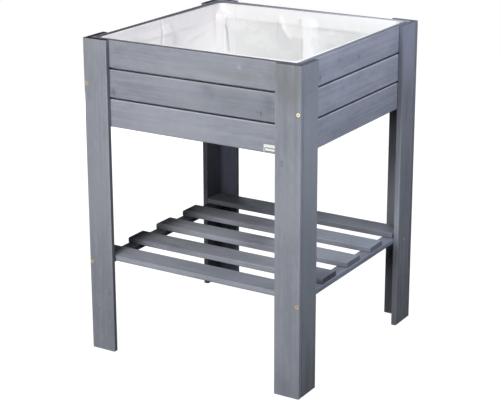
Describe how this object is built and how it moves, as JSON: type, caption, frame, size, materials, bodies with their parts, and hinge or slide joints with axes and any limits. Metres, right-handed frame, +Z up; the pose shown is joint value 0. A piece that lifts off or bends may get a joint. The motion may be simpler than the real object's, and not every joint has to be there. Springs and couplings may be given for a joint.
{
  "type": "raised garden bed",
  "caption": "Square waist-high wooden planting box on board legs, with an open fleece liner inside and a slatted shelf low between the legs.",
  "frame": {"origin": "on the ground under the middle of the bed", "axes": "+Z up; +X to the right along the front, the side with the small blank label; +Y from the front to the back"},
  "size_m": [0.6, 0.6, 0.8],
  "materials": {
    "stained_board": "planed softwood with a grey-blue stain, grain showing",
    "raw_wood": "sawn softwood, untreated colour",
    "fleece": "white non-woven needled fleece",
    "yellow_zinc": "steel wood screws with yellow-passivated zinc plating",
    "label_film": "blank white film label"
  },
  "bodies": {
    "root": {"front_left_leg_face": "stained_board", "front_left_leg_side": "stained_board", "front_right_leg_face": "stained_board", "front_right_leg_side": "stained_board", "back_left_leg_face": "stained_board", "back_left_leg_side": "stained_board", "back_right_leg_face": "stained_board", "back_right_leg_side": "stained_board", "front_wall_top": "stained_board", "front_wall_middle": "stained_board", "front_wall_bottom": "stained_board", "back_wall_top": "stained_board", "back_wall_middle": "stained_board", "back_wall_bottom": "stained_board", "left_wall_top": "stained_board", "left_wall_middle": "stained_board", "left_wall_bottom": "stained_board", "right_wall_top": "stained_board", "right_wall_middle": "stained_board", "right_wall_bottom": "stained_board", "corner_batten_front_left": "raw_wood", "corner_batten_front_right": "raw_wood", "corner_batten_back_left": "raw_wood", "corner_batten_back_right": "raw_wood", "middle_batten_front": "raw_wood", "middle_batten_back": "raw_wood", "middle_batten_left": "raw_wood", "middle_batten_right": "raw_wood", "floor_bearer_front": "raw_wood", "floor_bearer_back": "raw_wood", "floor_board_1": "raw_wood", "floor_board_2": "raw_wood", "floor_board_3": "raw_wood", "floor_board_4": "raw_wood", "floor_board_5": "raw_wood", "floor_board_6": "raw_wood", "floor_board_7": "raw_wood", "fleece_liner": "fleece", "shelf_rail_left": "stained_board", "shelf_rail_right": "stained_board", "shelf_slat_1": "stained_board", "shelf_slat_2": "stained_board", "shelf_slat_3": "stained_board", "shelf_slat_4": "stained_board", "shelf_slat_5": "stained_board", "blank_label": "label_film", "leg_edge_screws": "yellow_zinc", "shelf_rail_screws": "yellow_zinc", "wall_leg_screws": "yellow_zinc", "corner_batten_screws": "yellow_zinc", "middle_batten_screws": "yellow_zinc", "bearer_screws": "yellow_zinc", "floor_screws": "yellow_zinc", "shelf_slat_screws": "yellow_zinc"}
  },
  "joints": []
}
